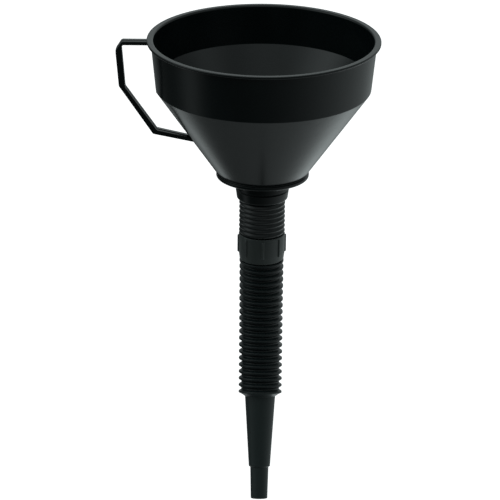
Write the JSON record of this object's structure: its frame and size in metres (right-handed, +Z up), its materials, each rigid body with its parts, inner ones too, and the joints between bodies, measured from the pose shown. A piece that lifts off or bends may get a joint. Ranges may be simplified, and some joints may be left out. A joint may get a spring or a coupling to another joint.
{
  "type": "funnel",
  "caption": "Round filling funnel with a loop handle, lift-out strainer, ribbed union nut and a flexible corrugated spout with a tapered stepped tip.",
  "frame": {"origin": "centre of the rim's top plane", "axes": "+Z up along the bowl's axis, -X towards the carrying handle, -Y the way the hose leans at rest"},
  "size_m": [0.1811, 0.16, 0.3283],
  "materials": {
    "bowl_plastic": "satin moulded polyethylene",
    "hose_plastic": "satin blow-moulded polyethylene",
    "nut_plastic": "satin moulded polypropylene",
    "seal_rubber": "matt",
    "strainer_brass": "rolled brass strip",
    "gauze_brass": "woven brass wire"
  },
  "bodies": {
    "bowl": {"bowl_wall": "bowl_plastic", "bowl_cone": "bowl_plastic", "outlet_neck": "bowl_plastic", "carry_handle": "bowl_plastic"},
    "strainer": {"strainer_ring": "strainer_brass", "strainer_gauze": "gauze_brass"},
    "sealing_washer": {"sealing_washer": "seal_rubber"},
    "union_nut": {"union_nut": "nut_plastic"},
    "hose_head": {"hose_cuff": "hose_plastic", "hose_ring_01": "hose_plastic"},
    "hose_ring_02": {"hose_ring_02": "hose_plastic"},
    "hose_ring_03": {"hose_ring_03": "hose_plastic"},
    "hose_ring_04": {"hose_ring_04": "hose_plastic"},
    "hose_ring_05": {"hose_ring_05": "hose_plastic"},
    "hose_ring_06": {"hose_ring_06": "hose_plastic"},
    "hose_ring_07": {"hose_ring_07": "hose_plastic"},
    "hose_ring_08": {"hose_ring_08": "hose_plastic"},
    "hose_ring_09": {"hose_ring_09": "hose_plastic"},
    "hose_ring_10": {"hose_ring_10": "hose_plastic"},
    "hose_ring_11": {"hose_ring_11": "hose_plastic"},
    "hose_ring_12": {"hose_ring_12": "hose_plastic"},
    "hose_ring_13": {"hose_ring_13": "hose_plastic"},
    "hose_ring_14": {"hose_ring_14": "hose_plastic"},
    "hose_ring_15": {"hose_ring_15": "hose_plastic"},
    "hose_ring_16": {"hose_ring_16": "hose_plastic"},
    "hose_ring_17": {"hose_ring_17": "hose_plastic"},
    "hose_ring_18": {"hose_ring_18": "hose_plastic"},
    "hose_ring_19": {"hose_ring_19": "hose_plastic"},
    "hose_ring_20": {"hose_ring_20": "hose_plastic"},
    "spout": {"hose_ring_21": "hose_plastic", "spout": "hose_plastic"}
  },
  "joints": [
    {"name": "strainer_lift", "type": "slide", "parent": "bowl", "child": "strainer", "axis": [0, 0, 1], "range_m": [0, 0.12]},
    {"name": "nut_travel", "type": "slide", "parent": "bowl", "child": "sealing_washer", "axis": [0, 0, -1], "range_m": [0, 0.012]},
    {"name": "nut_turn", "type": "hinge", "parent": "sealing_washer", "child": "union_nut", "pos_m": [0, 0, -0.1409], "axis": [0, 0, -1], "range_deg": [0, 1440]},
    {"name": "hose_swivel", "type": "hinge", "parent": "sealing_washer", "child": "hose_head", "pos_m": [0, 0, -0.152], "axis": [0, 0, 1], "range_deg": [-180, 180]},
    {"name": "hose_bend_upper", "type": "hinge", "parent": "hose_head", "child": "hose_ring_02", "pos_m": [0, 0, -0.16368], "axis": [1, 0, 0], "range_deg": [-2.6, 4.4], "stiffness_Nm_per_rad": 0.1},
    {"name": "hose_flex_02", "type": "hinge", "parent": "hose_ring_02", "child": "hose_ring_03", "pos_m": [0, -0.00007, -0.16844], "axis": [1, 0, 0], "range_deg": [-2.6, 4.4], "stiffness_Nm_per_rad": 0.1},
    {"name": "hose_flex_03", "type": "hinge", "parent": "hose_ring_03", "child": "hose_ring_04", "pos_m": [0, -0.00022, -0.1732], "axis": [1, 0, 0], "range_deg": [-2.6, 4.4], "stiffness_Nm_per_rad": 0.1},
    {"name": "hose_flex_04", "type": "hinge", "parent": "hose_ring_04", "child": "hose_ring_05", "pos_m": [0, -0.00045, -0.17795], "axis": [1, 0, 0], "range_deg": [-2.6, 4.4], "stiffness_Nm_per_rad": 0.1},
    {"name": "hose_flex_05", "type": "hinge", "parent": "hose_ring_05", "child": "hose_ring_06", "pos_m": [0, -0.00075, -0.1827], "axis": [1, 0, 0], "range_deg": [-2.6, 4.4], "stiffness_Nm_per_rad": 0.1},
    {"name": "hose_flex_06", "type": "hinge", "parent": "hose_ring_06", "child": "hose_ring_07", "pos_m": [0, -0.00112, -0.18745], "axis": [1, 0, 0], "range_deg": [-2.6, 4.4], "stiffness_Nm_per_rad": 0.1},
    {"name": "hose_flex_07", "type": "hinge", "parent": "hose_ring_07", "child": "hose_ring_08", "pos_m": [0, -0.00157, -0.19219], "axis": [1, 0, 0], "range_deg": [-2.6, 4.4], "stiffness_Nm_per_rad": 0.1},
    {"name": "hose_flex_08", "type": "hinge", "parent": "hose_ring_08", "child": "hose_ring_09", "pos_m": [0, -0.00209, -0.19692], "axis": [1, 0, 0], "range_deg": [-2.6, 4.4], "stiffness_Nm_per_rad": 0.1},
    {"name": "hose_flex_09", "type": "hinge", "parent": "hose_ring_09", "child": "hose_ring_10", "pos_m": [0, -0.00269, -0.20164], "axis": [1, 0, 0], "range_deg": [-2.6, 4.4], "stiffness_Nm_per_rad": 0.1},
    {"name": "hose_flex_10", "type": "hinge", "parent": "hose_ring_10", "child": "hose_ring_11", "pos_m": [0, -0.00336, -0.20635], "axis": [1, 0, 0], "range_deg": [-2.6, 4.4], "stiffness_Nm_per_rad": 0.1},
    {"name": "hose_bend_lower", "type": "hinge", "parent": "hose_ring_11", "child": "hose_ring_12", "pos_m": [0, -0.0041, -0.21105], "axis": [1, 0, 0], "range_deg": [-2.6, 4.4], "stiffness_Nm_per_rad": 0.1},
    {"name": "hose_flex_12", "type": "hinge", "parent": "hose_ring_12", "child": "hose_ring_13", "pos_m": [0, -0.00492, -0.21574], "axis": [1, 0, 0], "range_deg": [-2.6, 4.4], "stiffness_Nm_per_rad": 0.1},
    {"name": "hose_flex_13", "type": "hinge", "parent": "hose_ring_13", "child": "hose_ring_14", "pos_m": [0, -0.00581, -0.22042], "axis": [1, 0, 0], "range_deg": [-2.6, 4.4], "stiffness_Nm_per_rad": 0.1},
    {"name": "hose_flex_14", "type": "hinge", "parent": "hose_ring_14", "child": "hose_ring_15", "pos_m": [0, -0.00678, -0.22508], "axis": [1, 0, 0], "range_deg": [-2.6, 4.4], "stiffness_Nm_per_rad": 0.1},
    {"name": "hose_flex_15", "type": "hinge", "parent": "hose_ring_15", "child": "hose_ring_16", "pos_m": [0, -0.00782, -0.22973], "axis": [1, 0, 0], "range_deg": [-2.6, 4.4], "stiffness_Nm_per_rad": 0.1},
    {"name": "hose_flex_16", "type": "hinge", "parent": "hose_ring_16", "child": "hose_ring_17", "pos_m": [0, -0.00893, -0.23435], "axis": [1, 0, 0], "range_deg": [-2.6, 4.4], "stiffness_Nm_per_rad": 0.1},
    {"name": "hose_flex_17", "type": "hinge", "parent": "hose_ring_17", "child": "hose_ring_18", "pos_m": [0, -0.01011, -0.23896], "axis": [1, 0, 0], "range_deg": [-2.6, 4.4], "stiffness_Nm_per_rad": 0.1},
    {"name": "hose_flex_18", "type": "hinge", "parent": "hose_ring_18", "child": "hose_ring_19", "pos_m": [0, -0.01137, -0.24356], "axis": [1, 0, 0], "range_deg": [-2.6, 4.4], "stiffness_Nm_per_rad": 0.1},
    {"name": "hose_flex_19", "type": "hinge", "parent": "hose_ring_19", "child": "hose_ring_20", "pos_m": [0, -0.0127, -0.24813], "axis": [1, 0, 0], "range_deg": [-2.6, 4.4], "stiffness_Nm_per_rad": 0.1},
    {"name": "hose_flex_20", "type": "hinge", "parent": "hose_ring_20", "child": "spout", "pos_m": [0, -0.0141, -0.25268], "axis": [1, 0, 0], "range_deg": [-2.6, 4.4], "stiffness_Nm_per_rad": 0.1}
  ],
  "couplings": [
    {"joint": "nut_turn", "follows": "nut_travel", "rad_per_m": 2094.4},
    {"joint": "hose_flex_02", "follows": "hose_bend_upper", "ratio": 1},
    {"joint": "hose_flex_03", "follows": "hose_bend_upper", "ratio": 1},
    {"joint": "hose_flex_04", "follows": "hose_bend_upper", "ratio": 1},
    {"joint": "hose_flex_05", "follows": "hose_bend_upper", "ratio": 1},
    {"joint": "hose_flex_06", "follows": "hose_bend_upper", "ratio": 1},
    {"joint": "hose_flex_07", "follows": "hose_bend_upper", "ratio": 1},
    {"joint": "hose_flex_08", "follows": "hose_bend_upper", "ratio": 1},
    {"joint": "hose_flex_09", "follows": "hose_bend_upper", "ratio": 1},
    {"joint": "hose_flex_10", "follows": "hose_bend_upper", "ratio": 1},
    {"joint": "hose_flex_12", "follows": "hose_bend_lower", "ratio": 1},
    {"joint": "hose_flex_13", "follows": "hose_bend_lower", "ratio": 1},
    {"joint": "hose_flex_14", "follows": "hose_bend_lower", "ratio": 1},
    {"joint": "hose_flex_15", "follows": "hose_bend_lower", "ratio": 1},
    {"joint": "hose_flex_16", "follows": "hose_bend_lower", "ratio": 1},
    {"joint": "hose_flex_17", "follows": "hose_bend_lower", "ratio": 1},
    {"joint": "hose_flex_18", "follows": "hose_bend_lower", "ratio": 1},
    {"joint": "hose_flex_19", "follows": "hose_bend_lower", "ratio": 1},
    {"joint": "hose_flex_20", "follows": "hose_bend_lower", "ratio": 1}
  ]
}
